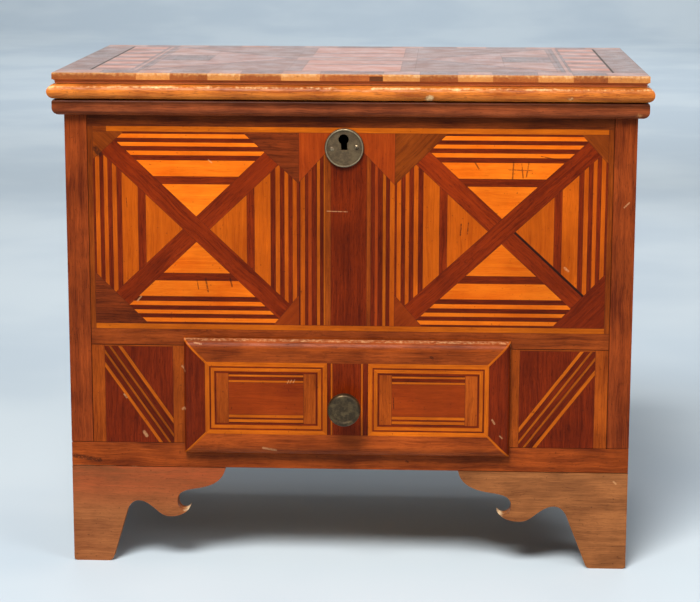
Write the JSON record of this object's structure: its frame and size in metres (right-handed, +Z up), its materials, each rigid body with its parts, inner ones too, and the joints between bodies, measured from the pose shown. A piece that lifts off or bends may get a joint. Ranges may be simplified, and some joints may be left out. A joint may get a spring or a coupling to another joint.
{
  "type": "miniature chest",
  "caption": "Small inlaid wooden chest with a hinged moulded lid, one lipped drawer with a round knob, a round lock plate and scrolled bracket feet.",
  "frame": {"origin": "on the floor under the feet, below the centre of the chest's outline with its knob and hinge knuckles", "axes": "+X along the front to the viewer's right, +Y from the front to the back, +Z up; the drawer and the knob face -Y"},
  "size_m": [0.3744, 0.2534, 0.3165],
  "materials": {
    "mahogany": "old varnish, satin",
    "inlaid_front": "old varnish, satin",
    "dark_wood": "old varnish, satin",
    "lid_veneer": "old varnish, satin",
    "foot_wood": "worn varnish",
    "plain_wood": "bare, aged",
    "brass": "patinated"
  },
  "bodies": {
    "case": {"bottom_rail": "mahogany", "front_stile_left": "mahogany", "front_stile_right": "mahogany", "front_board": "inlaid_front", "front_panel_left": "dark_wood", "front_panel_right": "dark_wood", "side_board_left": "mahogany", "side_board_right": "mahogany", "back_board": "plain_wood", "bottom_board": "plain_wood", "chest_floor": "plain_wood", "drawer_guide_left": "plain_wood", "drawer_guide_right": "plain_wood", "case_moulding_front": "mahogany", "case_moulding_left": "mahogany", "case_moulding_right": "mahogany", "lock_plate": "brass", "lock_plate_pin_left": "brass", "lock_plate_pin_right": "brass", "front_foot_left": "foot_wood", "front_foot_left_side": "foot_wood", "back_foot_left_side": "foot_wood", "back_foot_left": "foot_wood", "front_foot_right": "foot_wood", "front_foot_right_side": "foot_wood", "back_foot_right_side": "foot_wood", "back_foot_right": "foot_wood", "hinge_left_case_leaf": "brass", "hinge_left_pin": "brass", "hinge_right_case_leaf": "brass", "hinge_right_pin": "brass"},
    "lid": {"lid_board": "lid_veneer", "lid_bead_front": "mahogany", "lid_bead_left": "mahogany", "lid_bead_right": "mahogany", "hinge_left_lid_leaf": "brass", "hinge_right_lid_leaf": "brass"},
    "drawer": {"drawer_front": "inlaid_front", "drawer_side_left": "plain_wood", "drawer_side_right": "plain_wood", "drawer_back": "plain_wood", "drawer_bottom": "plain_wood", "knob": "brass"}
  },
  "joints": [
    {"name": "lid_hinge", "type": "hinge", "parent": "case", "child": "lid", "pos_m": [0, 0.1243, 0.3], "axis": [-1, 0, 0], "range_deg": [0, 105]},
    {"name": "drawer_slide", "type": "slide", "parent": "case", "child": "drawer", "axis": [0, -1, 0], "range_m": [0, 0.15]}
  ]
}
